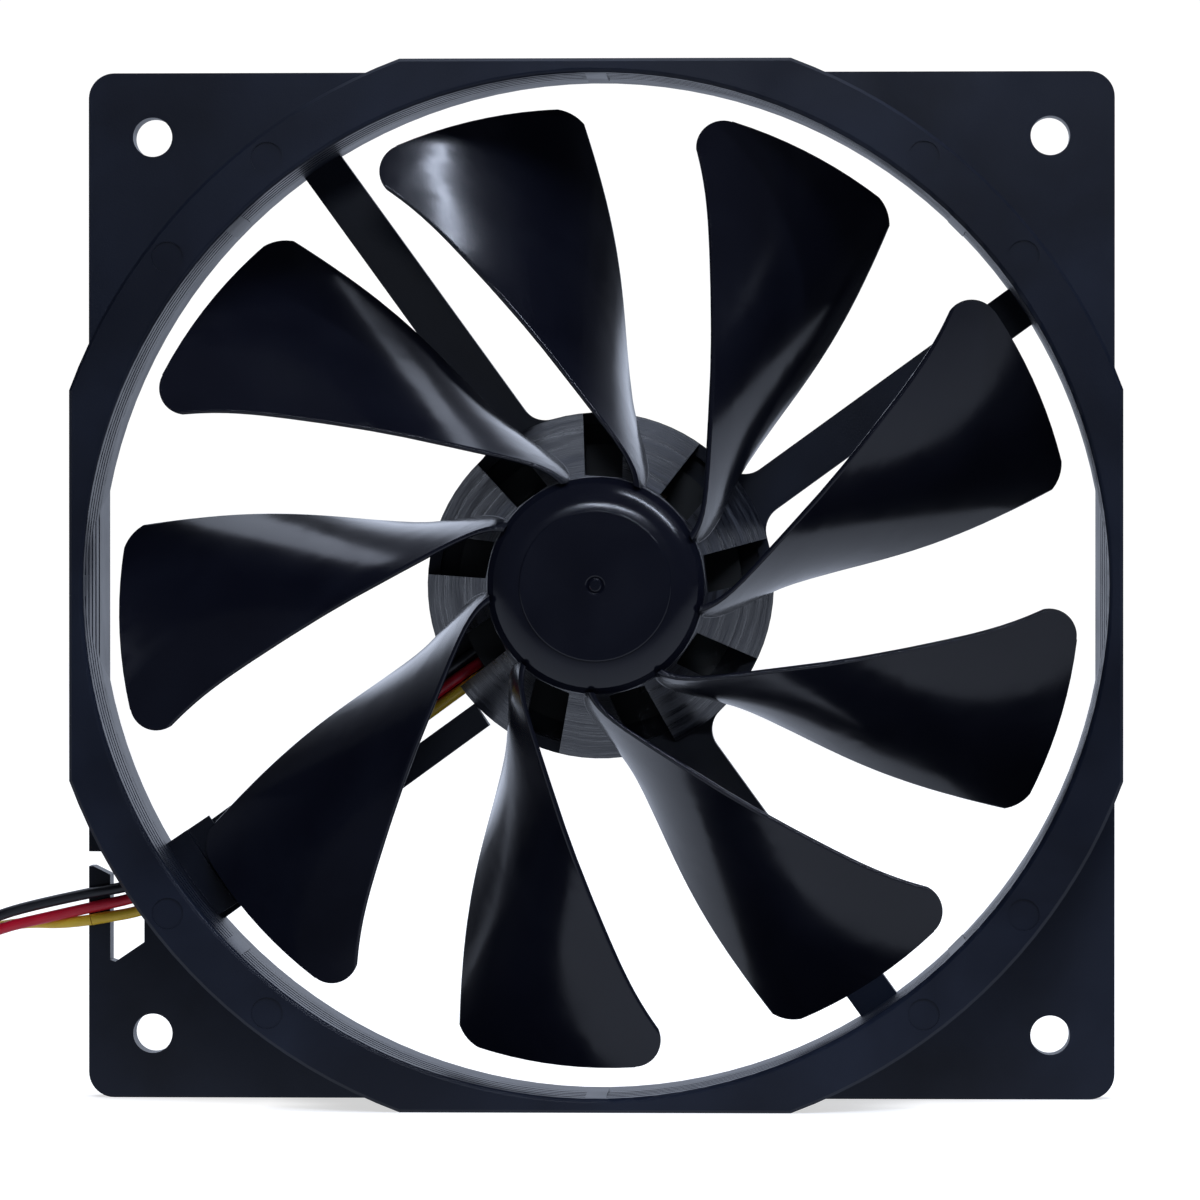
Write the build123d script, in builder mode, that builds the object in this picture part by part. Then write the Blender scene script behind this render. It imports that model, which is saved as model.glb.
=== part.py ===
"""Case fan, 120 x 120 x 25 mm, standing on its lower edge with its intake side forward.

The fan's axis runs along Y at the height CENTRE_Z. The intake faces -Y, the struts are at +Y,
X is to the right and Z is up. The origin is under the middle of the frame, on the surface it
stands on. All sizes are in millimetres, and angles are counter-clockwise seen from the intake.
"""
from build123d import *
import math
import os

# ---------------------------------------------------------------- driving dimensions
SIZE = 120.0                 # outside of the square frame
DEPTH = 25.0                 # along the fan's axis
HOLE_SPACING = 105.0         # between mounting holes
HOLE_R = 2.3
CENTRE_Z = SIZE / 2
FRONT = -DEPTH / 2
REAR = DEPTH / 2

# frame
LIP_R = 64.0                 # round front lip, cut off flat at the four sides
LIP_T = 3.2
WALL_R = 61.2                # outside of the duct wall
FLANGE_T = 4.0
CORNER_R = 3.0
DUCT_FRONT_R = 58.4
DUCT_REAR_R = 59.0
DUCT_FLAT = 57.9             # flats at the four sides, at the rear of the duct
FLAT_TAPER = 1.15            # degrees
GROOVE_COUNT = 5
GROOVE_PITCH = 3.1
GROOVE_DEPTH = 0.25
PAD_W = 2.4                  # smooth bars across the grooves
PAD_COUNT = 8
EJECTOR_R = 1.8
EJECTOR_RING_R = 61.4

# motor base and struts, all behind SPIDER_FRONT
SPIDER_FRONT = 8.6
BASE_R = 20.25
BASE_WALL = 1.4
BASE_FLOOR = 10.6
LABEL_R = 18.4
LABEL_T = 0.2
STRUT_W = 4.95
STRUT_OFFSET = -2.37         # the struts pass beside the axis
STRUT_FLARE = 3.0
STRUT_ANGLES = (35.9, 125.9, 305.9)
WIRE_STRUT_ANGLE = 214
STRUT_END_R = 60.0

# impeller
# blades unevenly spaced, to spread their tone
BLADE_ANGLES = (0.3, 40.0, 80.8, 120.3, 160.6, 200.3, 239.5, 280.3, 319.5)
HUB_FRONT = -11.5            # flat front of the cap
DISC_R = 8.7                 # flat disc of the cap, and the rounding of its crisp edge
DISC_EDGE = 0.2
SHOULDER_START = (DISC_R, HUB_FRONT + DISC_EDGE)      # rounded shoulder: radius, depth
SHOULDER_MIDDLE = (10.4, -10.95)
SHOULDER_END = (11.7, -10.15)
CAP_EDGE = -9.3
CAP_R = 12.5
SKIRT_FRONT = -8.2           # the conical skirt runs from here to HUB_REAR
HUB_REAR = 8.0
HUB_REAR_R = 20.2
SKIRT_T = 1.3
GATE_R = 1.15                # V-shaped ring in the middle of the disc
GATE_DEPTH = 0.25
BLADE_FRONT = -10.3
BLADE_REAR = 6.3
TIP_FRONT_R = 55.2
TIP_REAR_R = 55.6
BLADE_T = 1.9
BLADE_EDGE_T = 0.8
BLADE_CAMBER = 0.055         # of the chord
# where one blade's leading and trailing edges lie: radius, leading angle, trailing angle
BLADE_STATIONS = (
    (12.2, 67.2, 66.1),
    (16.2, 79.8, 73.8),
    (20.0, 90.3, 78.9),
    (25.6, 99.3, 82.9),
    (33.0, 106.5, 85.5),
    (41.0, 111.7, 87.9),
    (49.0, 116.0, 90.5),
    (59.0, 120.5, 93.6),
)
# rounding of a blade's tip: its radius, its centre's angle, and the slant of the edge it meets
LEAD_CORNER = (3.2, 114.1, 24)
TRAIL_CORNER = (4.5, 95.6, -8)
SLOT_END_ANGLE = 95.5        # radial edge of the slot under each blade
SLOT_INNER_R = 12.7

# motor
SHAFT_R = 1.5
BEARING_R = 3.3
BEARING_CLEARANCE = 0.03
TUBE_R = 4.4
YOKE_R = 11.9
YOKE_T = 0.8
YOKE_FRONT = -8.9
YOKE_REAR = 5.0
MAGNET_INNER_R = 10.3
CORE_R = 9.9
CORE_HALF = 2.5
ARM_W = 2.6
BOARD_FRONT = 7.0
BOARD_T = 1.0
BOARD_R = 16.5

# wires
WIRE_D = 1.3
WIRE_PITCH = 1.4
WIRE_COLOURS = ("black", "red", "yellow")
WIRE_DEPTH = BASE_FLOOR - WIRE_D / 2 - 0.03
EXIT_X = -59.6
EXIT_Y = 7.8

# ---------------------------------------------------------------- helpers
FAN_AXIS = Axis((0, 0, CENTRE_Z), (0, 1, 0))
RADIAL_PLANE = Plane.XY.offset(CENTRE_Z)     # x is the radius, y the depth


def face_plane(y):
    """Plane across the fan at depth y, seen from the intake: x is right and y is up."""
    return Plane(origin=(0, y, CENTRE_Z), x_dir=(1, 0, 0), z_dir=(0, -1, 0))


def polar(radius, angle, offset=0.0):
    """Point in a face plane at a radius and an angle, moved sideways counter-clockwise."""
    a = math.radians(angle)
    x = radius * math.cos(a) - offset * math.sin(a)
    return (x, radius * math.sin(a) + offset * math.cos(a))


def turned(points, mode=Mode.ADD):
    """Body turned about the fan's axis from (radius, depth) corners."""
    with BuildSketch(RADIAL_PLANE) as profile:
        with BuildLine():
            Polyline(*points, close=True)
        make_face()
    revolve(profile.sketch, axis=FAN_AXIS, mode=mode)


def ring(inner, outer, front, rear, mode=Mode.ADD):
    """Plain ring or disc about the fan's axis."""
    turned([(inner, front), (outer, front), (outer, rear), (inner, rear)], mode)


def slab(points, front, rear, mode=Mode.ADD):
    """Prism between two depths from corners in the face plane."""
    with BuildSketch(face_plane(rear)) as outline:
        with BuildLine():
            Polyline(*points, close=True)
        make_face()
    extrude(outline.sketch, amount=rear - front, mode=mode)


def save(builder, name):
    """Label a finished piece and write it."""
    builder.part.label = name
    export_step(builder.part, f"parts/{name}.step")


os.makedirs("parts", exist_ok=True)

# ---------------------------------------------------------------- frame
# air passage: a cone, flattened a little towards the rear at the four sides
with BuildPart() as air_passage:
    with BuildSketch(RADIAL_PLANE) as passage_profile:
        with BuildLine():
            Polyline((0, FRONT - 1), (DUCT_FRONT_R, FRONT - 1), (DUCT_FRONT_R, FRONT + 2),
                     (DUCT_REAR_R, REAR + 1), (0, REAR + 1), close=True)
        make_face()
    revolve(axis=FAN_AXIS)
    with BuildSketch(face_plane(REAR + 1)):
        Rectangle(2 * DUCT_FLAT, 2 * DUCT_FLAT)
    extrude(amount=DEPTH + 2, taper=-FLAT_TAPER, mode=Mode.INTERSECT)

# motor base and the three plain struts, seen in the face plane
with BuildPart() as spider:
    with BuildSketch(face_plane(REAR)) as spider_plan:
        Circle(BASE_R)
        for angle in STRUT_ANGLES:
            low = STRUT_OFFSET - STRUT_W / 2
            high = STRUT_OFFSET + STRUT_W / 2
            with BuildLine():
                Polyline(polar(0, angle, low), polar(STRUT_END_R, angle, low),
                         polar(STRUT_END_R, angle, high), polar(0, angle, high), close=True)
            make_face()
        roots = [v for v in spider_plan.vertices() if abs(v.center().length - BASE_R) < 0.5]
        fillet(roots, STRUT_FLARE)
    extrude(amount=REAR - SPIDER_FRONT)
    ring(0, BASE_R - BASE_WALL, SPIDER_FRONT, BASE_FLOOR, Mode.SUBTRACT)

with BuildPart() as frame:
    # front lip and duct wall, both cut off flat by the square outline
    with BuildSketch(face_plane(FRONT + LIP_T)):
        Circle(LIP_R)
        Rectangle(SIZE, SIZE, mode=Mode.INTERSECT)
    extrude(amount=LIP_T)
    with BuildSketch(face_plane(REAR)):
        Circle(WALL_R)
        Rectangle(SIZE, SIZE, mode=Mode.INTERSECT)
    extrude(amount=DEPTH)
    # rear flange with the four mounting holes
    with BuildSketch(face_plane(REAR)):
        RectangleRounded(SIZE, SIZE, CORNER_R)
        with GridLocations(HOLE_SPACING, HOLE_SPACING, 2, 2):
            Circle(HOLE_R, mode=Mode.SUBTRACT)
    extrude(amount=FLANGE_T)
    add(air_passage.part, mode=Mode.SUBTRACT)
    front_face = frame.faces().sort_by(Axis.Y)[0]
    chamfer(front_face.outer_wire().edges(), 0.35)
    front_face = frame.faces().sort_by(Axis.Y)[0]
    fillet(front_face.inner_wires()[0].edges(), 0.5)
    # shallow grooves round the duct, crossed by smooth bars
    for groove in range(GROOVE_COUNT):
        y = FRONT + 2.6 + groove * GROOVE_PITCH
        bottom = DUCT_FRONT_R + GROOVE_DEPTH + 0.1
        turned([(DUCT_FRONT_R - 2, y - 0.7), (bottom, y - 0.5), (bottom, y + 0.5),
                (DUCT_FRONT_R - 2, y + 0.7)], Mode.SUBTRACT)
    with BuildSketch(face_plane(FRONT + 16)):
        with PolarLocations((DUCT_FRONT_R + WALL_R) / 2 - 0.6, PAD_COUNT):
            Rectangle(1.6, PAD_W)
    extrude(amount=14.6)
    # round ejector marks on the lip
    for start in (37.5, 52.5):
        with BuildSketch(face_plane(FRONT)):
            with PolarLocations(EJECTOR_RING_R, 4, start_angle=start):
                Circle(EJECTOR_R)
        extrude(amount=-0.2, mode=Mode.SUBTRACT)
    add(spider.part)
    # wire strut: a floor that the wires lie on, a rib beside it and a web near the duct
    slab([polar(20, WIRE_STRUT_ANGLE, -3.9), polar(STRUT_END_R, WIRE_STRUT_ANGLE, -2.6),
          polar(STRUT_END_R, WIRE_STRUT_ANGLE, 3.6), polar(20, WIRE_STRUT_ANGLE, 1.5)],
         BASE_FLOOR, REAR)
    slab([polar(20, WIRE_STRUT_ANGLE, 3.2), polar(STRUT_END_R, WIRE_STRUT_ANGLE, 4.5),
          polar(STRUT_END_R, WIRE_STRUT_ANGLE, 7.7), polar(20, WIRE_STRUT_ANGLE, 6.3)],
         SPIDER_FRONT, REAR)
    slab([polar(51, WIRE_STRUT_ANGLE, 2.5), polar(STRUT_END_R, WIRE_STRUT_ANGLE, 2.5),
          polar(STRUT_END_R, WIRE_STRUT_ANGLE, 5), polar(51, WIRE_STRUT_ANGLE, 5)],
         BASE_FLOOR, REAR)
    # bridge that holds the wires down half way along their strut
    slab([polar(36.8, WIRE_STRUT_ANGLE, -3.3), polar(39.2, WIRE_STRUT_ANGLE, -3.3),
          polar(39.2, WIRE_STRUT_ANGLE, 4.6), polar(36.8, WIRE_STRUT_ANGLE, 4.6)],
         8.2, 9.0)
    slab([polar(36.8, WIRE_STRUT_ANGLE, -3.3), polar(39.2, WIRE_STRUT_ANGLE, -3.3),
          polar(39.2, WIRE_STRUT_ANGLE, -2.2), polar(36.8, WIRE_STRUT_ANGLE, -2.2)],
         8.2, REAR)
    # notches that let the wires out of the base and through the duct wall
    slab([polar(18.5, WIRE_STRUT_ANGLE, -2.7), polar(21.5, WIRE_STRUT_ANGLE, -2.7),
          polar(21.5, WIRE_STRUT_ANGLE, 1.7), polar(18.5, WIRE_STRUT_ANGLE, 1.7)],
         SPIDER_FRONT - 1, BASE_FLOOR, Mode.SUBTRACT)
    slab([polar(57, WIRE_STRUT_ANGLE, -1.7), polar(61.5, WIRE_STRUT_ANGLE, -1.7),
          polar(61.5, WIRE_STRUT_ANGLE, 3.6), polar(57, WIRE_STRUT_ANGLE, 3.6)],
         6.9, 9.4, Mode.SUBTRACT)
    # stepped cover over the wires where they reach the duct wall, clear of the blades' tips
    for inner, outer, front, rear in ((53, 57, 6.8, 7.6), (56, STRUT_END_R, 5.6, 6.9)):
        slab([polar(inner, WIRE_STRUT_ANGLE, -3.3), polar(outer, WIRE_STRUT_ANGLE, -3.3),
              polar(outer, WIRE_STRUT_ANGLE, 7.0), polar(inner, WIRE_STRUT_ANGLE, 7.0)],
             front, rear)
    # open wire window in the corner beside that strut, which leaves a hook at the edge
    slab([(-57.5, -43.9), (-56.9, -44.1), (-53.5, -41.8), (-53.5, -36.5), (-56.8, -31.5),
          (-58.2, -31.2), (-SIZE, -30.6), (-SIZE, -32.9), (-59.5, -32.9), (-57.5, -33.9)],
         REAR - FLANGE_T - 0.5, REAR + 1, Mode.SUBTRACT)
    # bearing tube, its rear opening, posts for the circuit board and the label's recess
    ring(BEARING_R, TUBE_R, -5.5, BASE_FLOOR + 0.5)
    ring(0, BEARING_R, -6, REAR + 1, Mode.SUBTRACT)
    with BuildSketch(face_plane(BASE_FLOOR + 0.5)):
        with PolarLocations(14.8, 3, start_angle=34):
            Circle(1.0)
    extrude(amount=BASE_FLOOR + 0.5 - BOARD_FRONT - BOARD_T)
    ring(0, LABEL_R + 0.2, REAR - LABEL_T, REAR + 1, Mode.SUBTRACT)
save(frame, "frame")

# ---------------------------------------------------------------- impeller
SKIRT_SLOPE = (HUB_REAR_R - CAP_R) / (HUB_REAR - SKIRT_FRONT)


def hub_radius(y):
    """Outside radius of the conical skirt at depth y."""
    return CAP_R + SKIRT_SLOPE * (y - SKIRT_FRONT)


def blade_section(radius, lead, trail):
    """Closed outline of a blade on the flat plane through its two edges at this radius."""
    half_angle = math.radians((lead - trail) / 2)
    middle = math.radians((lead + trail) / 2)
    outward = Vector(math.cos(middle), 0, math.sin(middle))
    sideways = Vector(-math.sin(middle), 0, math.cos(middle))
    centre = Vector(0, 0, CENTRE_Z) + outward * (radius * math.cos(half_angle))
    plane = Plane(origin=centre, x_dir=sideways, z_dir=outward)
    reach = radius * math.sin(half_angle)
    lead_point = Vector(reach, -BLADE_FRONT)
    trail_point = Vector(-reach, -BLADE_REAR)
    chord = lead_point - trail_point
    along = chord.normalized()
    across = Vector(-along.Y, along.X)
    belly = (lead_point + trail_point) * 0.5 + across * (BLADE_CAMBER * chord.length)
    edge = across * (BLADE_EDGE_T / 2)
    half_t = across * (BLADE_T / 2)
    with BuildSketch(plane) as section:
        with BuildLine():
            ThreePointArc(trail_point + edge, belly + half_t, lead_point + edge)
            ThreePointArc(lead_point + edge, lead_point + along * 0.3, lead_point - edge)
            ThreePointArc(lead_point - edge, belly - half_t, trail_point - edge)
            ThreePointArc(trail_point - edge, trail_point - along * 0.3, trail_point + edge)
        make_face()
    return section.sketch


def corner_waste(round_r, centre_angle, slant, tip_r):
    """Outline outside the rounding of one tip corner, for cutting the corner off."""
    centre_radius = tip_r - round_r
    side = math.copysign(10, slant)
    drop = abs(side) * math.sin(math.radians(abs(slant)))
    with BuildSketch(face_plane(REAR)) as waste:
        with BuildLine():
            Polyline(polar(centre_radius, centre_angle), polar(70, centre_angle),
                     polar(70, centre_angle, side), polar(centre_radius - drop, centre_angle, side),
                     close=True)
        make_face()
        with Locations(polar(centre_radius, centre_angle)):
            Circle(round_r, mode=Mode.SUBTRACT)
    return waste.sketch


with BuildPart() as blade:
    loft(sections=[blade_section(*station) for station in BLADE_STATIONS])
    turned([(0, BLADE_FRONT - 1), (TIP_FRONT_R, BLADE_FRONT - 1), (TIP_REAR_R, BLADE_REAR + 1),
            (0, BLADE_REAR + 1)], Mode.INTERSECT)
    extrude(corner_waste(*LEAD_CORNER, TIP_FRONT_R), amount=DEPTH, mode=Mode.SUBTRACT)
    extrude(corner_waste(*TRAIL_CORNER, TIP_REAR_R), amount=DEPTH, mode=Mode.SUBTRACT)
    # the root ends inside the skirt's wall
    turned([(0, HUB_FRONT - 2), (hub_radius(HUB_FRONT - 2) - 0.8, HUB_FRONT - 2),
            (hub_radius(REAR) - 0.8, REAR), (0, REAR)], Mode.SUBTRACT)

with BuildPart() as impeller:
    # cup for the steel yoke, inside a conical skirt, with a boss for the shaft
    with BuildSketch(RADIAL_PLANE) as hub_profile:
        with BuildLine():
            Line((0, HUB_FRONT), (DISC_R - DISC_EDGE, HUB_FRONT))
            RadiusArc((DISC_R - DISC_EDGE, HUB_FRONT), SHOULDER_START, -DISC_EDGE)
            ThreePointArc(SHOULDER_START, SHOULDER_MIDDLE, SHOULDER_END)
            Polyline(SHOULDER_END, (CAP_R, CAP_EDGE), (CAP_R, SKIRT_FRONT), (HUB_REAR_R, HUB_REAR),
                     (HUB_REAR_R - SKIRT_T, HUB_REAR), (YOKE_R + 0.9, -4.0), (YOKE_R + 0.9, 4.5),
                     (YOKE_R, 4.5), (YOKE_R, YOKE_FRONT), (3.0, YOKE_FRONT), (3.0, -6.8),
                     (SHAFT_R, -6.8), (SHAFT_R, -10.4), (0, -10.4), (0, HUB_FRONT))
        make_face()
        fillet([v for v in hub_profile.vertices() if abs(v.Y - CAP_EDGE) < 0.01], 0.5)
    revolve(axis=FAN_AXIS)
    # slots in the skirt under the blades
    with BuildPart(mode=Mode.PRIVATE) as slots:
        with BuildSketch(face_plane(REAR)):
            for turn in BLADE_ANGLES:
                with BuildLine():
                    Polyline(polar(SLOT_INNER_R, turn + 76), polar(17.6, turn + 80.5),
                             polar(21, turn + 83), polar(21, turn + SLOT_END_ANGLE),
                             polar(SLOT_INNER_R, turn + SLOT_END_ANGLE), close=True)
                make_face()
        extrude(amount=REAR - HUB_FRONT - 1.6)
    add(slots.part, mode=Mode.SUBTRACT)
    for turn in BLADE_ANGLES:
        add(blade.part.rotate(FAN_AXIS, -turn))
    # small gate mark in the middle of the hub
    turned([(GATE_R / 2, HUB_FRONT), (GATE_R * 0.75, HUB_FRONT + GATE_DEPTH),
            (GATE_R, HUB_FRONT)], Mode.SUBTRACT)
save(impeller, "impeller")

# ---------------------------------------------------------------- rotor
with BuildPart() as rotor_yoke:
    turned([(3.0, YOKE_FRONT), (YOKE_R, YOKE_FRONT), (YOKE_R, YOKE_REAR),
            (YOKE_R - YOKE_T, YOKE_REAR), (YOKE_R - YOKE_T, YOKE_FRONT + YOKE_T),
            (3.0, YOKE_FRONT + YOKE_T)])
    yoke_edge = rotor_yoke.edges().filter_by(GeomType.CIRCLE).sort_by(Axis.Y).sort_by(
        lambda edge: edge.center().Y - edge.radius)[0]
    fillet(yoke_edge, 0.6)
save(rotor_yoke, "rotor_yoke")

with BuildPart() as ring_magnet:
    ring(MAGNET_INNER_R, YOKE_R - YOKE_T, -4.2, 4.4)
    chamfer(ring_magnet.edges().filter_by(GeomType.CIRCLE), 0.15)
save(ring_magnet, "ring_magnet")

SHAFT_REAR = 9.65
CLIP_FRONT = 7.3
CLIP_T = 0.45
CLIP_GROOVE_R = 1.15
with BuildPart() as shaft:
    ring(0, SHAFT_R, -10.4, SHAFT_REAR)
    ring(CLIP_GROOVE_R, SHAFT_R + 1, CLIP_FRONT, CLIP_FRONT + CLIP_T, Mode.SUBTRACT)
    chamfer(shaft.edges().filter_by(GeomType.CIRCLE).sort_by(Axis.Y)[-1], 0.4)
save(shaft, "shaft")

with BuildPart() as retaining_clip:
    ring(CLIP_GROOVE_R, 2.6, CLIP_FRONT, CLIP_FRONT + CLIP_T)
    slab([(-0.7, 0), (0.7, 0), (0.7, 4), (-0.7, 4)], CLIP_FRONT - 1, CLIP_FRONT + 2, Mode.SUBTRACT)
save(retaining_clip, "retaining_clip")

# ---------------------------------------------------------------- bearing
with BuildPart() as sleeve_bearing:
    ring(SHAFT_R + BEARING_CLEARANCE, BEARING_R, -4.0, 7.0)
    outer_ends = sleeve_bearing.edges().filter_by(
        lambda edge: edge.geom_type == GeomType.CIRCLE and edge.radius > BEARING_R - 0.1)
    chamfer(outer_ends, 0.3)
save(sleeve_bearing, "sleeve_bearing")

with BuildPart() as oil_seal:
    ring(SHAFT_R + 0.12, BEARING_R, -5.3, -4.3)
save(oil_seal, "oil_seal")

PAD_FRONT = 9.75
with BuildPart() as bearing_cap:
    ring(0, BEARING_R, 9.1, REAR - LABEL_T - 0.05)
    ring(0, 1.9, 8, PAD_FRONT + 0.7, Mode.SUBTRACT)
save(bearing_cap, "bearing_cap")

with BuildPart() as thrust_pad:
    ring(0, 1.9, PAD_FRONT, PAD_FRONT + 0.7)
save(thrust_pad, "thrust_pad")

# ---------------------------------------------------------------- stator
POLE_ANGLES = (0, 90, 180, 270)
INSULATOR_T = 0.6
COIL_T = 1.2
COIL_ENDS = (6.5, 8.0)


def pole_plan(hub_r, arm_w, shoe_inner, shoe_outer, y):
    """Ring with four arms that end in curved shoes, in the face plane at depth y."""
    with BuildSketch(face_plane(y)) as plan:
        Circle(shoe_outer)
        Circle(shoe_inner, mode=Mode.SUBTRACT)
        with PolarLocations(9, 4, start_angle=45):
            Rectangle(6, 2.2, mode=Mode.SUBTRACT)
        Circle(hub_r)
        Rectangle(2 * shoe_inner + 0.2, arm_w)
        Rectangle(arm_w, 2 * shoe_inner + 0.2)
        Circle(TUBE_R, mode=Mode.SUBTRACT)
    return plan.sketch


def shoe_plan(inner, outer, y):
    """Four curved shoes alone."""
    with BuildSketch(face_plane(y)) as plan:
        Circle(outer)
        Circle(inner, mode=Mode.SUBTRACT)
        with PolarLocations(9, 4, start_angle=45):
            Rectangle(6, 2.6, mode=Mode.SUBTRACT)
    return plan.sketch


with BuildPart() as stator_core:
    extrude(pole_plan(6.2, ARM_W, 8.7, CORE_R, CORE_HALF), amount=2 * CORE_HALF)
save(stator_core, "stator_core")

INSULATOR_ARM_W = ARM_W + 0.6
with BuildPart() as front_insulator:
    extrude(pole_plan(6.3, INSULATOR_ARM_W, 8.65, 9.6, -CORE_HALF), amount=INSULATOR_T)
    extrude(shoe_plan(8.65, 9.3, -CORE_HALF), amount=INSULATOR_T + COIL_T + 0.2)
save(front_insulator, "front_insulator")

with BuildPart() as rear_insulator:
    extrude(pole_plan(6.3, INSULATOR_ARM_W, 8.65, 9.6, CORE_HALF), amount=-INSULATOR_T)
    extrude(shoe_plan(8.65, 9.3, CORE_HALF), amount=-(INSULATOR_T + COIL_T + 0.2))
save(rear_insulator, "rear_insulator")

COIL_HOLE_H = 2 * (CORE_HALF + INSULATOR_T)
for number, angle in enumerate(POLE_ANGLES, start=1):
    x, z = polar(COIL_ENDS[0], angle)
    outward = (math.cos(math.radians(angle)), 0, math.sin(math.radians(angle)))
    with BuildPart() as coil:
        with BuildSketch(Plane(origin=(x, 0, CENTRE_Z + z), x_dir=(0, 1, 0), z_dir=outward)):
            RectangleRounded(COIL_HOLE_H + 2 * COIL_T, INSULATOR_ARM_W + 2 * COIL_T, 1.1)
            Rectangle(COIL_HOLE_H, INSULATOR_ARM_W, mode=Mode.SUBTRACT)
        extrude(amount=COIL_ENDS[1] - COIL_ENDS[0])
    save(coil, f"coil_{number}")

# ---------------------------------------------------------------- circuit board
PIN_RING_R = 5.4
PIN_HALF = 0.25
with BuildPart() as circuit_board:
    with BuildSketch(face_plane(BOARD_FRONT + BOARD_T)):
        Circle(BOARD_R)
        Circle(TUBE_R + 0.1, mode=Mode.SUBTRACT)
        with PolarLocations(PIN_RING_R, 4, start_angle=45):
            Circle(0.42, mode=Mode.SUBTRACT)
    extrude(amount=BOARD_T)
save(circuit_board, "circuit_board")

with BuildPart() as winding_pins:
    with BuildSketch(face_plane(BOARD_FRONT + BOARD_T + 0.5)):
        with PolarLocations(PIN_RING_R, 4, start_angle=45):
            Rectangle(2 * PIN_HALF, 2 * PIN_HALF)
    extrude(amount=BOARD_FRONT + BOARD_T + 0.5 - CORE_HALF - INSULATOR_T)
save(winding_pins, "winding_pins")


def board_block(name, angle, radius, length, width, height, edge=0.15):
    """Rectangular component on the front of the board, its length across the radius."""
    with BuildPart() as block:
        x, z = polar(radius, angle)
        place = Plane(origin=(x, BOARD_FRONT, CENTRE_Z + z), z_dir=(0, -1, 0),
                      x_dir=(-math.sin(math.radians(angle)), 0, math.cos(math.radians(angle))))
        with BuildSketch(place):
            Rectangle(length, width)
        extrude(amount=height)
        chamfer(block.faces().sort_by(Axis.Y)[0].edges(), edge)
    save(block, name)


board_block("driver_chip", 135, 11.2, 5.0, 4.0, 1.4, 0.25)
board_block("capacitor", 60, 12.0, 3.2, 1.8, 1.3)
board_block("diode", 300, 12.0, 4.2, 2.6, 1.3, 0.25)
board_block("resistor_1", 0, 11.5, 2.0, 1.25, 0.55, 0.1)
board_block("resistor_2", 24, 11.5, 2.0, 1.25, 0.55, 0.1)

with BuildPart() as rear_label:
    ring(0, LABEL_R, REAR - LABEL_T, REAR)
save(rear_label, "rear_label")

# ---------------------------------------------------------------- wires inside the fan
BASE_OFFSETS = (-1.85, -0.45, 0.95)      # sideways on their strut: black, red, yellow
OFFSET_GROWTH = 1.6                      # how far they have moved over at the duct wall
SOLDER_R = 0.9
SOLDER_RING_R = 12.6
LEAD_START_R = SOLDER_RING_R + SOLDER_R
WINDOW_POINTS = ((-55.5, -35.3), (-54.7, -36.65), (-53.7, -38.15))
EXIT_HEIGHTS = (24.0, 22.3, 20.85)       # above the floor


def strut_point(radius, offset, y):
    """Point over the wire strut."""
    x, z = polar(radius, WIRE_STRUT_ANGLE, offset)
    return Vector(x, y, CENTRE_Z + z)


def route_radii(points, share=0.45):
    """Radius at each inner point: 0.45 of the shorter run over the tangent of half the turn."""
    radii = []
    for before, here, after in zip(points, points[1:], points[2:]):
        first = Vector(*here) - Vector(*before)
        second = Vector(*after) - Vector(*here)
        turn = math.radians(first.get_angle(second))
        radii.append(share * min(first.length, second.length) / math.tan(turn / 2))
    return radii


def wire_tube(points, name):
    """Round wire along straight runs joined by tangent arcs."""
    radii = route_radii(points)
    with BuildPart() as tube:
        with BuildLine() as route:
            FilletPolyline(*points, radius=radii)
        with BuildSketch(Plane(origin=route.line @ 0, z_dir=route.line % 0)):
            Circle(WIRE_D / 2)
        sweep()
    length = sum(edge.length for edge in route.edges())
    expected = math.pi * WIRE_D ** 2 / 4 * length
    print(f"{name}: length {length:.1f} mm, tightest radius {min(radii):.1f} mm,",
          f"volume / expected {tube.part.volume / expected:.4f}")
    return tube


for colour, base, window, height in zip(WIRE_COLOURS, BASE_OFFSETS, WINDOW_POINTS, EXIT_HEIGHTS):
    wall = base + OFFSET_GROWTH
    board_y = BOARD_FRONT + BOARD_T + WIRE_D / 2
    lead = wire_tube([strut_point(LEAD_START_R, base, board_y),
                      strut_point(16.2, base, board_y),
                      strut_point(19.4, base, WIRE_DEPTH),
                      strut_point(52, base + 0.78 * OFFSET_GROWTH, WIRE_DEPTH),
                      strut_point(60.5, wall, EXIT_Y),
                      Vector(window[0], EXIT_Y, CENTRE_Z + window[1]),
                      Vector(EXIT_X, EXIT_Y, height)], f"{colour}_lead")
    save(lead, f"{colour}_lead")

with BuildPart() as solder_joints:
    for base in BASE_OFFSETS:
        x, z = polar(SOLDER_RING_R, WIRE_STRUT_ANGLE, base)
        with BuildSketch(face_plane(BOARD_FRONT + BOARD_T + SOLDER_R)):
            with Locations((x, z)):
                Circle(0.65)
        extrude(amount=SOLDER_R)
save(solder_joints, "solder_joints")

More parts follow.
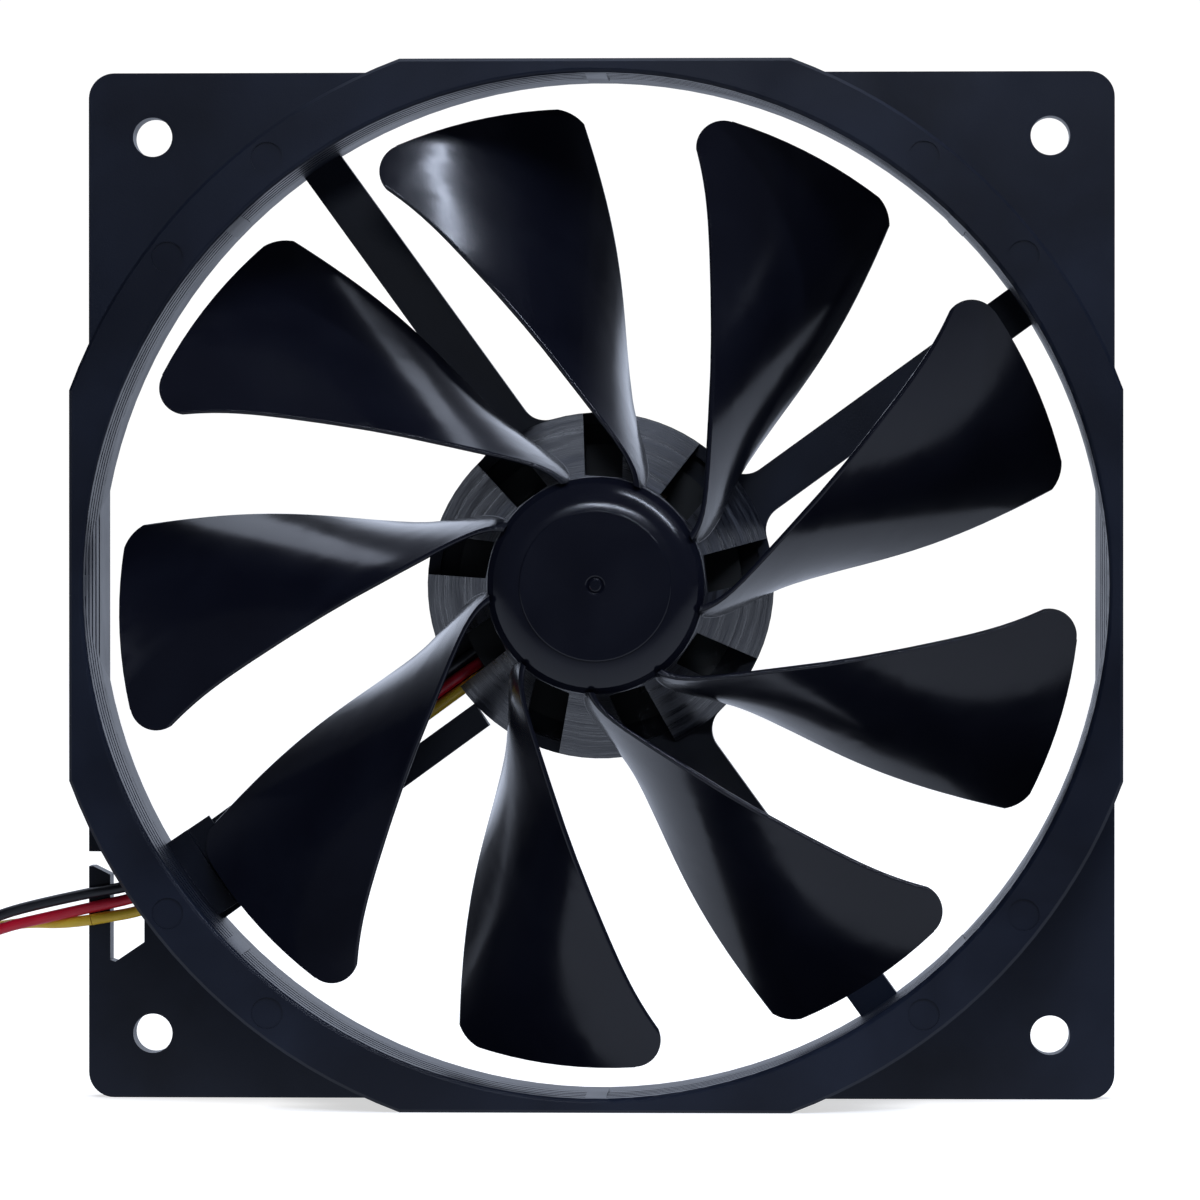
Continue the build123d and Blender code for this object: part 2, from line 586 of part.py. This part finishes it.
# ---------------------------------------------------------------- free wires
# the three wires fall to the floor beside the frame and end in one neat coil
WIRE_FLOOR = WIRE_D / 2 + 0.03
COIL_X = -106.0
COIL_Y = -6.6
COIL_TURNS = 3.5
COIL_RADII = (13.2, 14.6, 16.0)
COIL_BOTTOM = 0.45                       # lifted by the tie under it
COIL_TOP = COIL_BOTTOM + WIRE_D + COIL_TURNS * WIRE_PITCH + 0.1
FREE_ROUTES = {
    "black": [(EXIT_X, EXIT_Y, 24.0), (-65.0, 7.6, 22.9), (-71.0, 7.2, 21.3),
              (-77.8, 6.8, 17.9), (-84.0, 6.6, 12.4), (-88.8, 6.5, 6.4), (-94.2, 6.6, 2.2),
              (-100.4, 6.6, 1.0), (COIL_X, COIL_Y + COIL_RADII[0], 1.1)],
    "red": [(EXIT_X, EXIT_Y, 22.3), (-65.0, 7.5, 21.1), (-71.0, 7.6, 19.7),
            (-77.6, 7.9, 16.4), (-83.6, 8.0, 11.3), (-88.6, 7.9, 5.8), (-94.4, 8.0, 2.0),
            (-100.6, 8.0, 1.0), (COIL_X, COIL_Y + COIL_RADII[1], 1.1)],
    "yellow": [(EXIT_X, EXIT_Y, 20.85), (-62.9, 8.3, 20.35), (-67.4, 9.4, 20.5),
               (-72.6, 9.6, 19.6), (-78.4, 9.5, 16.5), (-84.2, 9.4, 11.2), (-89.2, 9.3, 5.6),
               (-94.8, 9.4, 1.9), (-100.8, 9.4, 1.0), (COIL_X, COIL_Y + COIL_RADII[2], 1.1)],
}
TAIL_TOP = COIL_BOTTOM + WIRE_D / 2 + COIL_TURNS * WIRE_PITCH
PLUG_REAR = -90.5
PLUG_Y = COIL_Y - COIL_RADII[1]
PIN_PITCH = 2.54
PLUG_L = 11.6
PLUG_W = 7.8
PLUG_H = 4.8
PLUG_MID_Z = PLUG_H / 2

for colour, route in FREE_ROUTES.items():
    save(wire_tube(route, f"{colour}_wire"), f"{colour}_wire")

for number, (colour, radius) in enumerate(zip(WIRE_COLOURS, COIL_RADII)):
    start_y = COIL_Y - radius
    pin_y = PLUG_Y + (1 - number) * PIN_PITCH
    tail = wire_tube([(COIL_X, start_y, TAIL_TOP),
                      (COIL_X + 5.0, start_y * 0.94 + pin_y * 0.06, TAIL_TOP - 0.4),
                      (COIL_X + 10.4, start_y * 0.3 + pin_y * 0.7, PLUG_MID_Z + 0.7),
                      (PLUG_REAR + 1.5, pin_y, PLUG_MID_Z)], f"{colour}_tail")
    save(tail, f"{colour}_tail")

with BuildPart() as wire_coil:
    with BuildSketch(Plane.XY.offset(COIL_BOTTOM)):
        with Locations((COIL_X, COIL_Y)):
            Circle(COIL_RADII[2] + WIRE_D / 2)
            Circle(COIL_RADII[0] - WIRE_D / 2, mode=Mode.SUBTRACT)
    extrude(amount=COIL_TOP - COIL_BOTTOM)
save(wire_coil, "wire_coil")

# tie round the coil at its far side
TIE_W = 2.4
TIE_T = 0.4
with BuildPart() as coil_tie:
    band_w = COIL_RADII[2] - COIL_RADII[0] + WIRE_D
    band_h = COIL_TOP - COIL_BOTTOM
    middle = Vector(COIL_X - COIL_RADII[1], COIL_Y, (COIL_TOP + COIL_BOTTOM) / 2)
    with BuildSketch(Plane(origin=middle, x_dir=(1, 0, 0), z_dir=(0, -1, 0)).offset(-TIE_W / 2)):
        Rectangle(band_w + 2 * TIE_T + 0.1, band_h + 2 * TIE_T)
        Rectangle(band_w + 0.1, band_h, mode=Mode.SUBTRACT)
    extrude(amount=TIE_W)
    # square head of the tie with a short end of strap
    with BuildSketch(Plane.XY.offset(COIL_TOP + TIE_T)):
        with Locations((middle.X + 0.3, middle.Y)):
            Rectangle(3.6, TIE_W + 1.0)
    extrude(amount=1.7)
save(coil_tie, "coil_tie")

# three-way socket housing, its mouth to the right
with BuildPart() as connector_housing:
    with BuildSketch(Plane(origin=(PLUG_REAR, PLUG_Y, PLUG_MID_Z), x_dir=(0, 1, 0),
                           z_dir=(1, 0, 0))):
        RectangleRounded(PLUG_W, PLUG_H, 0.4)
    extrude(amount=PLUG_L)
    with BuildSketch(Plane(origin=(PLUG_REAR, PLUG_Y, PLUG_MID_Z), x_dir=(0, 1, 0),
                           z_dir=(1, 0, 0))):
        with GridLocations(PIN_PITCH, 1, 3, 1):
            Rectangle(1.8, 1.8)
    extrude(amount=PLUG_L, mode=Mode.SUBTRACT)
    # two guide ribs and the windows over the terminals' latches
    with BuildSketch(Plane.XY.offset(PLUG_H)):
        with Locations((PLUG_REAR + PLUG_L / 2 + 1.5, PLUG_Y + 1.9),
                       (PLUG_REAR + PLUG_L / 2 + 1.5, PLUG_Y - 1.9)):
            Rectangle(PLUG_L - 3.0, 0.9)
    extrude(amount=1.0)
    with BuildSketch(Plane.XY.offset(PLUG_H)):
        with Locations((PLUG_REAR + 4.2, PLUG_Y)):
            with GridLocations(1, PIN_PITCH, 1, 3):
                Rectangle(1.6, 1.1)
    extrude(amount=-1.6, mode=Mode.SUBTRACT)
save(connector_housing, "connector_housing")

with BuildPart() as crimp_terminals:
    mouth = Plane(origin=(PLUG_REAR + 1.5, PLUG_Y, PLUG_MID_Z), x_dir=(0, 1, 0), z_dir=(1, 0, 0))
    with BuildSketch(mouth):
        with GridLocations(PIN_PITCH, 1, 3, 1):
            Rectangle(1.5, 1.5)
    extrude(amount=8.6)
    with BuildSketch(mouth.offset(3.0)):
        with GridLocations(PIN_PITCH, 1, 3, 1):
            Rectangle(1.0, 1.0)
    extrude(amount=6, mode=Mode.SUBTRACT)
save(crimp_terminals, "crimp_terminals")
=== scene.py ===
"""Case fan: materials, wires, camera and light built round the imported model. Lengths are metres."""
import math
import bpy
from mathutils import Matrix, Vector

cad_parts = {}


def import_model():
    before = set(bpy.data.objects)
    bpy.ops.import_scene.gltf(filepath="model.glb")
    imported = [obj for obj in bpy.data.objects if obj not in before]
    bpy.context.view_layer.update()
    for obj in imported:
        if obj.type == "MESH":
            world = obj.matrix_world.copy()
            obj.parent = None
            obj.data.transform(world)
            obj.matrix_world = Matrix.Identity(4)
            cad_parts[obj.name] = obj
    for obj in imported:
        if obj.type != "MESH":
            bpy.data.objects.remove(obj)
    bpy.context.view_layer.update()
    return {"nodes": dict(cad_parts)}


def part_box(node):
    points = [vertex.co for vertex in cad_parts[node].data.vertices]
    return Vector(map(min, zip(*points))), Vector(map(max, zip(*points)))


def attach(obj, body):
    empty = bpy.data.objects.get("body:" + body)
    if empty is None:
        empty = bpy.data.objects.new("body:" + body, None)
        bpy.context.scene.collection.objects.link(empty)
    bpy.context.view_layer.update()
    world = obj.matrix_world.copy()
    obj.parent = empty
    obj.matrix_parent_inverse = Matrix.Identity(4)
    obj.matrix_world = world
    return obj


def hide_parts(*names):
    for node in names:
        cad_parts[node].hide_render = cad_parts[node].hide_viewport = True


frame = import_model()
nodes = frame["nodes"]

# ---------------------------------------------------------------- sizes and places
frame_low, frame_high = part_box("frame")
FAN_CENTRE = (frame_low + frame_high) / 2

# the hub's skirt is a cone behind the cap's rounded shoulder
SKIRT_FRONT_R = 0.0125
SKIRT_REAR_R = 0.0202
SKIRT_FRONT_Y = -0.0082
SKIRT_REAR_Y = 0.0080
SKIRT_EDGE = (0.00005, 0.0003)       # heights over the cone between which the blades' look takes over
SHOULDER_EDGE = (-0.0092, -0.0086)   # depths between which the skirt's look takes over from the cap's

WIRE_D = 0.0013
WIRE_PITCH = 0.0014
COIL_X = -0.106
COIL_Y = -0.0066
COIL_TURNS = 3.5
COIL_BOTTOM = 0.00045
COIL_RADII = {"black": 0.0132, "red": 0.0146, "yellow": 0.0160}
POINTS_PER_TURN = 16

# each wire from the frame to the start of its coil
ROUTES = {
    "black": [(-0.0596, 0.0078, 0.0240), (-0.0650, 0.0076, 0.0229), (-0.0710, 0.0072, 0.0213),
              (-0.0778, 0.0068, 0.0179), (-0.0840, 0.0066, 0.0124), (-0.0888, 0.0065, 0.0064),
              (-0.0942, 0.0066, 0.0022), (-0.1004, 0.0066, 0.0010)],
    "red": [(-0.0596, 0.0078, 0.0223), (-0.0650, 0.0075, 0.0211), (-0.0710, 0.0076, 0.0197),
            (-0.0776, 0.0079, 0.0164), (-0.0836, 0.0080, 0.0113), (-0.0886, 0.0079, 0.0058),
            (-0.0944, 0.0080, 0.0020), (-0.1006, 0.0080, 0.0010)],
    "yellow": [(-0.0596, 0.0078, 0.02085), (-0.0629, 0.0083, 0.02035), (-0.0674, 0.0094, 0.0205),
               (-0.0726, 0.0096, 0.0196), (-0.0784, 0.0095, 0.0165), (-0.0842, 0.0094, 0.0112),
               (-0.0892, 0.0093, 0.0056), (-0.0948, 0.0094, 0.0019), (-0.1008, 0.0094, 0.0010)],
}
# each wire from the end of its coil to the socket
TAILS = {
    "black": [(-0.1010, -0.01973, 0.00560), (-0.0956, -0.01900, 0.0031), (-0.0890, -0.01866, 0.0024)],
    "red": [(-0.1010, -0.02120, 0.00560), (-0.0956, -0.02120, 0.0031), (-0.0890, -0.02120, 0.0024)],
    "yellow": [(-0.1010, -0.02267, 0.00560), (-0.0956, -0.02340, 0.0031), (-0.0890, -0.02374, 0.0024)],
}

# sockets of a Mix node: first, second and result
MIX_SOCKETS = {"FLOAT": (2, 3, 0), "RGBA": (6, 7, 2)}


# ---------------------------------------------------------------- helpers
def add_object(name, data):
    """New object in the scene."""
    made = bpy.data.objects.new(name, data)
    bpy.context.scene.collection.objects.link(made)
    return made


def new_material(name):
    """Empty Principled material and its shader."""
    mat = bpy.data.materials.new(name)
    mat.use_nodes = True
    return mat, mat.node_tree.nodes["Principled BSDF"]


def node(mat, kind, **settings):
    """New shader node with its settings and input values."""
    made = mat.node_tree.nodes.new(kind)
    for key, value in settings.items():
        if key in made.inputs:
            made.inputs[key].default_value = value
        else:
            setattr(made, key, value)
    return made


def link(mat, source, target):
    """Link from an output to an input."""
    mat.node_tree.links.new(source, target)


def feed(mat, value, target):
    """Input that takes a socket's value, or a constant."""
    if isinstance(value, bpy.types.NodeSocket):
        link(mat, value, target)
    else:
        target.default_value = value


def coordinates(mat, stretch=(1, 1, 1)):
    """Object coordinates in metres, stretched along the axes."""
    place = node(mat, "ShaderNodeTexCoord")
    mapping = node(mat, "ShaderNodeMapping", Scale=stretch)
    link(mat, place.outputs["Object"], mapping.inputs["Vector"])
    return mapping.outputs["Vector"]


def apart(mat, space="Object"):
    """Coordinates as separate outputs X, Y and Z."""
    place = node(mat, "ShaderNodeTexCoord")
    made = node(mat, "ShaderNodeSeparateXYZ")
    link(mat, place.outputs[space], made.inputs["Vector"])
    return made.outputs


def noise(mat, size, stretch=(1, 1, 1), detail=3.0, roughness=0.5, distortion=0.0):
    """Noise whose features are about size metres across."""
    made = node(mat, "ShaderNodeTexNoise", Scale=1 / size, Detail=detail, Roughness=roughness,
                Distortion=distortion)
    link(mat, coordinates(mat, stretch), made.inputs["Vector"])
    return made.outputs["Fac"]


def ramp(mat, source, stops):
    """Colour ramp from (position, colour) stops."""
    made = node(mat, "ShaderNodeValToRGB")
    elements = made.color_ramp.elements
    while len(elements) < len(stops):
        elements.new(0.5)
    for element, (position, colour) in zip(elements, stops):
        element.position = position
        element.color = (*colour, 1)
    link(mat, source, made.inputs["Fac"])
    return made.outputs["Color"]


def spread(mat, source, low, high, start=0.3, end=0.7):
    """Factor mapped from start..end to low..high."""
    made = node(mat, "ShaderNodeMapRange")
    for key, value in (("From Min", start), ("From Max", end), ("To Min", low), ("To Max", high)):
        made.inputs[key].default_value = value
    link(mat, source, made.inputs["Value"])
    return made.outputs["Result"]


def maths(mat, operation, first, second=0.0):
    """Maths on two values, each a socket or a number."""
    made = node(mat, "ShaderNodeMath", operation=operation)
    feed(mat, first, made.inputs[0])
    feed(mat, second, made.inputs[1])
    return made.outputs["Value"]


def blend(mat, kind, factor, first, second):
    """Mix of two values or colours, each a socket or a constant."""
    made = node(mat, "ShaderNodeMix", data_type=kind)
    first_in, second_in, result = MIX_SOCKETS[kind]
    link(mat, factor, made.inputs["Factor"])
    feed(mat, first, made.inputs[first_in])
    feed(mat, second, made.inputs[second_in])
    return made.outputs[result]


def bump(mat, shader, height, depth, before=None):
    """Bump of that depth in metres, on top of an earlier bump."""
    made = node(mat, "ShaderNodeBump", Strength=1.0, Distance=depth)
    link(mat, height, made.inputs["Height"])
    if before is not None:
        link(mat, before, made.inputs["Normal"])
    link(mat, made.outputs["Normal"], shader.inputs["Normal"])
    return made.outputs["Normal"]


def axis_distance(mat):
    """Distance from the fan's axis, in metres."""
    place = apart(mat)
    x2 = maths(mat, "POWER", place["X"], 2.0)
    z2 = maths(mat, "POWER", maths(mat, "SUBTRACT", place["Z"], FAN_CENTRE.z), 2.0)
    return maths(mat, "SQRT", maths(mat, "ADD", x2, z2))


# ---------------------------------------------------------------- materials
def plastic(name, dark, light, roughness, grain=0.00025, grain_depth=0.000006, mottle=0.012,
            specular=0.5):
    """Moulded plastic: slight mottling, a fine grain and uneven gloss."""
    mat, shader = new_material(name)
    tone = ramp(mat, noise(mat, mottle, detail=4.0, distortion=0.4), [(0.35, dark), (0.68, light)])
    link(mat, tone, shader.inputs["Base Color"])
    gloss = spread(mat, noise(mat, mottle * 0.5, detail=5.0), roughness * 0.86, roughness * 1.16)
    link(mat, gloss, shader.inputs["Roughness"])
    shader.inputs["Specular IOR Level"].default_value = specular
    bump(mat, shader, noise(mat, grain, detail=2.0), grain_depth)
    return mat


def metal(name, dark, light, roughness, stretch=(1, 1, 1), grain=0.0004, grain_depth=0.000004):
    """Bare metal with drawn or turned marks along the stretched axis."""
    mat, shader = new_material(name)
    shader.inputs["Metallic"].default_value = 1.0
    marks = noise(mat, grain, stretch, detail=4.0)
    link(mat, ramp(mat, marks, [(0.3, dark), (0.7, light)]), shader.inputs["Base Color"])
    link(mat, spread(mat, marks, roughness * 0.8, roughness * 1.25), shader.inputs["Roughness"])
    bump(mat, shader, marks, grain_depth)
    return mat


def wire_pvc(name, dark, light):
    """Soft PVC insulation."""
    return plastic(name, dark, light, 0.34, grain=0.00035, grain_depth=0.000012, mottle=0.004)


def skirt_mask(mat):
    """1 on the hub's skirt, 0 on its cap and on the blades, which stand out of the cone."""
    depth = apart(mat)["Y"]
    cone_r = spread(mat, depth, SKIRT_FRONT_R, SKIRT_REAR_R, SKIRT_FRONT_Y, SKIRT_REAR_Y)
    above_cone = maths(mat, "SUBTRACT", axis_distance(mat), cone_r)
    inside = spread(mat, above_cone, 1.0, 0.0, *SKIRT_EDGE)
    behind = spread(mat, depth, 0.0, 1.0, *SHOULDER_EDGE)
    return maths(mat, "MULTIPLY", inside, behind)


def impeller_plastic():
    """Glossy black blades and hub; the hub's skirt carries streaks that run round it."""
    mat, shader = new_material("impeller_pbt")
    mottle = noise(mat, 0.012, detail=4.0, distortion=0.4)
    tone = ramp(mat, mottle, [(0.35, (0.0042, 0.0046, 0.0088)), (0.68, (0.0066, 0.0074, 0.0130))])
    streaks = noise(mat, 0.0014, (0.08, 1.0, 0.08), detail=5.0, roughness=0.75)
    streak_tone = ramp(mat, streaks, [(0.38, (0.004, 0.005, 0.009)), (0.52, (0.018, 0.020, 0.027)),
                                      (0.64, (0.065, 0.070, 0.085))])
    on_skirt = skirt_mask(mat)
    link(mat, blend(mat, "RGBA", on_skirt, tone, streak_tone), shader.inputs["Base Color"])
    gloss = spread(mat, noise(mat, 0.006, detail=5.0), 0.13, 0.20)
    dull = spread(mat, streaks, 0.24, 0.55, 0.38, 0.64)
    link(mat, blend(mat, "FLOAT", on_skirt, gloss, dull), shader.inputs["Roughness"])
    grain = bump(mat, shader, noise(mat, 0.0003, detail=2.0), 0.000002)
    bump(mat, shader, maths(mat, "MULTIPLY", streaks, on_skirt), 0.00022, before=grain)
    return mat


MATERIALS = {
    # satin black moulding with a bluish cast
    "frame": plastic("frame_pbt", (0.0042, 0.0058, 0.0120), (0.0110, 0.0148, 0.0270), 0.36,
                     grain=0.00022, grain_depth=0.000008, mottle=0.018, specular=0.3),
    "impeller": impeller_plastic(),
    "steel": metal("zinc_steel", (0.42, 0.42, 0.43), (0.62, 0.62, 0.63), 0.30, (1, 0.05, 1)),
    "magnet": plastic("bonded_ferrite", (0.030, 0.028, 0.028), (0.060, 0.056, 0.055), 0.55,
                      grain=0.0002, grain_depth=0.00002, mottle=0.002),
    "shaft": metal("ground_steel", (0.55, 0.55, 0.56), (0.75, 0.75, 0.76), 0.18, (1, 6, 1)),
    "nylon": plastic("natural_nylon", (0.60, 0.58, 0.50), (0.74, 0.72, 0.66), 0.42),
    "bronze": metal("sintered_bronze", (0.30, 0.17, 0.07), (0.52, 0.33, 0.15), 0.45,
                    grain=0.0002, grain_depth=0.00001),
    "laminations": metal("laminations", (0.16, 0.16, 0.17), (0.36, 0.36, 0.37), 0.42,
                         (0.1, 4, 0.1), grain=0.0005, grain_depth=0.00003),
    "copper": metal("enamelled_copper", (0.42, 0.12, 0.035), (0.66, 0.26, 0.09), 0.28,
                    grain=0.0003, grain_depth=0.00003),
    "board": plastic("solder_mask", (0.0025, 0.0040, 0.0038), (0.0045, 0.0070, 0.0065), 0.35,
                     mottle=0.003),
    "solder": metal("tin_solder", (0.55, 0.55, 0.56), (0.80, 0.80, 0.80), 0.25),
    "epoxy": plastic("component_epoxy", (0.012, 0.012, 0.013), (0.022, 0.022, 0.023), 0.5),
    "ceramic": plastic("capacitor_ceramic", (0.30, 0.19, 0.10), (0.42, 0.28, 0.16), 0.4),
    "label": plastic("label_film", (0.42, 0.43, 0.45), (0.52, 0.53, 0.55), 0.38),
    "black": wire_pvc("wire_black", (0.006, 0.006, 0.009), (0.011, 0.011, 0.015)),
    "red": wire_pvc("wire_red", (0.52, 0.004, 0.020), (0.66, 0.008, 0.032)),
    "yellow": wire_pvc("wire_yellow", (0.80, 0.50, 0.025), (0.90, 0.62, 0.05)),
    "tie": plastic("tie_nylon", (0.010, 0.010, 0.011), (0.018, 0.018, 0.020), 0.35),
    "plug": plastic("plug_nylon", (0.008, 0.008, 0.009), (0.015, 0.015, 0.017), 0.38),
    "contacts": metal("tinned_brass", (0.60, 0.56, 0.48), (0.78, 0.75, 0.68), 0.22),
}
NODE_MATERIALS = {
    "frame": "frame", "impeller": "impeller", "rotor_yoke": "steel", "ring_magnet": "magnet",
    "shaft": "shaft", "retaining_clip": "nylon", "sleeve_bearing": "bronze", "oil_seal": "nylon",
    "bearing_cap": "nylon", "thrust_pad": "nylon", "stator_core": "laminations",
    "front_insulator": "nylon", "rear_insulator": "nylon", "coil_1": "copper", "coil_2": "copper",
    "coil_3": "copper", "coil_4": "copper", "circuit_board": "board", "winding_pins": "solder",
    "driver_chip": "epoxy", "capacitor": "ceramic", "diode": "epoxy", "resistor_1": "epoxy",
    "resistor_2": "epoxy", "rear_label": "label", "solder_joints": "solder",
    "black_lead": "black", "red_lead": "red", "yellow_lead": "yellow", "coil_tie": "tie",
    "connector_housing": "plug", "crimp_terminals": "contacts",
}
for name, material in NODE_MATERIALS.items():
    mesh = nodes[name].data
    mesh.materials.clear()
    mesh.materials.append(MATERIALS[material])


# ---------------------------------------------------------------- wires
def coil_points(radius):
    """Turns of one wire, counter-clockwise from above, from the back of the coil to its front."""
    rise = WIRE_PITCH / POINTS_PER_TURN
    # the line of the spline runs a little inside its points
    reach = radius / math.cos(math.pi / POINTS_PER_TURN)
    points = []
    for step in range(int(COIL_TURNS * POINTS_PER_TURN) + 1):
        angle = math.pi / 2 + 2 * math.pi * step / POINTS_PER_TURN
        points.append((COIL_X + reach * math.cos(angle), COIL_Y + reach * math.sin(angle),
                       COIL_BOTTOM + WIRE_D / 2 + rise * step))
    return points


def wire(colour):
    """One free wire: down from the frame, through its turns and into the socket."""
    points = ROUTES[colour] + coil_points(COIL_RADII[colour]) + TAILS[colour]
    curve = bpy.data.curves.new(f"{colour}_free_wire", "CURVE")
    curve.dimensions = "3D"
    spline = curve.splines.new("NURBS")
    spline.points.add(len(points) - 1)
    for target, point in zip(spline.points, points):
        target.co = (*point, 1)
    spline.order_u = 3
    spline.use_endpoint_u = True
    curve.bevel_depth = WIRE_D / 2
    curve.bevel_resolution = 5
    curve.resolution_u = 8
    curve.use_fill_caps = True
    curve.materials.append(MATERIALS[colour])
    piece = add_object(f"{colour}_free_wire", curve)
    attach(piece, "stator")
    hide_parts(f"{colour}_wire", f"{colour}_tail", "wire_coil")


for colour in ROUTES:
    wire(colour)

# ---------------------------------------------------------------- floor, light and camera
FLOOR_SIZE = 8.0
FLOOR_GREY = (0.50, 0.50, 0.50, 1)
FLOOR_GLOW_AND_PAINTED_SHADOW = (0.62, 0.95)            # the floor's brightness: dimmed to a painted shadow where covered, full where open
PAINTED_SHADOW_OPENNESS = (0.35, 1.0)         # share of open sky at which the floor is fully in painted shadow and fully open
PAINTED_SHADOW_REACH = 0.010                  # how near a thing has to be to cover the floor with painted shadow
FLOOR_RETURN = (0.05, 0.70)          # what the floor throws back, at the two depths below
FLOOR_RETURN_Y = (-0.35, 0.02)
WHITE = (1, 1, 1, 1)
WHITE_STRENGTH = 1.05                # surroundings as the camera sees them
SKY_TINT = (0.74, 0.82, 1.0, 1)      # bluish cast of what the fan reflects
SKY_STRENGTH = 1.7
# brightness of the surroundings against how nearly they lie straight behind the fan
SKY_STOPS = ((0.50, 0.03), (0.76, 0.14), (0.86, 0.80), (0.95, 1.0), (0.985, 0.32), (1.0, 0.28))

CAMERA_AZIMUTH = math.radians(1.8)
CAMERA_ELEVATION = math.radians(0.2)
CAMERA_DISTANCE = 0.760
CAMERA_AIM = Vector((0, 0.0065, 0.0583))
LENS_MM = 195.5
SENSOR_MM = 36
CLIP = (0.01, 50)


def floor():
    """Pale floor that reads as white, with a painted contact shadow where the fan stands near it; what
    it throws back on the fan is dim and fades forward.
    """
    mesh = bpy.data.meshes.new("floor")
    half = FLOOR_SIZE / 2
    mesh.from_pydata([(-half, -half, 0), (half, -half, 0), (half, half, 0), (-half, half, 0)], [],
                     [(0, 1, 2, 3)])
    made = add_object("floor", mesh)
    mat, shader = new_material("floor_white_painted_shadow")
    shader.inputs["Base Color"].default_value = FLOOR_GREY
    shader.inputs["Roughness"].default_value = 0.8
    shader.inputs["Specular IOR Level"].default_value = 0.1
    shader.inputs["Emission Color"].default_value = WHITE
    # painted shadow: ambient occlusion dims the floor's own emission under and beside the fan, standing
    # in for its contact shadow
    near = node(mat, "ShaderNodeAmbientOcclusion", Distance=PAINTED_SHADOW_REACH)
    brightness_with_painted_shadow = spread(mat, near.outputs["AO"], *FLOOR_GLOW_AND_PAINTED_SHADOW, *PAINTED_SHADOW_OPENNESS)
    link(mat, brightness_with_painted_shadow, shader.inputs["Emission Strength"])
    returned = node(mat, "ShaderNodeEmission", Color=SKY_TINT)
    link(mat, spread(mat, apart(mat)["Y"], *FLOOR_RETURN, *FLOOR_RETURN_Y), returned.inputs["Strength"])
    seen = node(mat, "ShaderNodeLightPath")
    either = node(mat, "ShaderNodeMixShader")
    link(mat, seen.outputs["Is Camera Ray"], either.inputs[0])
    link(mat, returned.outputs["Emission"], either.inputs[1])
    link(mat, shader.outputs["BSDF"], either.inputs[2])
    link(mat, either.outputs["Shader"], mat.node_tree.nodes["Material Output"].inputs["Surface"])
    mesh.materials.append(mat)


def world():
    """White surroundings for the camera; for the light, bright behind the fan and dark in front."""
    made = bpy.data.worlds.new("studio")
    bpy.context.scene.world = made
    made.use_nodes = True
    background = made.node_tree.nodes["Background"]
    shade = ramp(made, apart(made, "Generated")["Y"],
                 [(position, (level, level, level)) for position, level in SKY_STOPS])
    lit = maths(made, "MULTIPLY", shade, SKY_STRENGTH)
    seen = node(made, "ShaderNodeLightPath").outputs["Is Camera Ray"]
    link(made, blend(made, "FLOAT", seen, lit, WHITE_STRENGTH), background.inputs["Strength"])
    link(made, blend(made, "RGBA", seen, SKY_TINT, WHITE), background.inputs["Color"])


def area_light(name, place, width, height, power, along=(1, 0, 0), mirrored=True):
    """Soft rectangular light that faces the fan, its width lying along a direction."""
    data = bpy.data.lights.new(name, "AREA")
    data.shape = "RECTANGLE"
    data.size = width
    data.size_y = height
    data.energy = power
    data.color = SKY_TINT[:3]
    made = add_object(name, data)
    away = (Vector(place) - FAN_CENTRE).normalized()
    up = away.cross(Vector(along)).normalized()
    across = up.cross(away)
    made.matrix_world = Matrix((across, up, away)).transposed().to_4x4()
    made.location = place
    made.visible_glossy = mirrored


def camera():
    """Long lens almost square to the fan's front."""
    data = bpy.data.cameras.new("camera")
    data.lens = LENS_MM
    data.sensor_width = SENSOR_MM
    data.clip_start, data.clip_end = CLIP
    made = add_object("camera", data)
    back = Vector((math.sin(CAMERA_AZIMUTH) * math.cos(CAMERA_ELEVATION),
                   -math.cos(CAMERA_AZIMUTH) * math.cos(CAMERA_ELEVATION),
                   math.sin(CAMERA_ELEVATION)))
    made.location = CAMERA_AIM + back * CAMERA_DISTANCE
    made.rotation_euler = (-back).to_track_quat("-Z", "Y").to_euler()
    bpy.context.scene.camera = made


floor()
world()
camera()
# the fills light the plastic without showing in it; the strips draw the arcs on the hub
area_light("front_fill", (0.05, -0.60, 0.62), 0.34, 0.16, 2.8, mirrored=False)
area_light("right_fill", (0.55, -0.10, 0.50), 0.30, 0.30, 1.2, mirrored=False)
area_light("overhead", (0.0, 0.30, 1.1), 1.0, 0.8, 5.0)
area_light("top_strip", (0.02, -0.66, 0.275), 0.16, 0.012, 0.4)
area_light("shoulder_strip", (0.36, -0.38, 0.60), 0.44, 0.026, 1.5, along=(-0.79, 0, 0.61))
bpy.context.scene.view_settings.view_transform = "Standard"
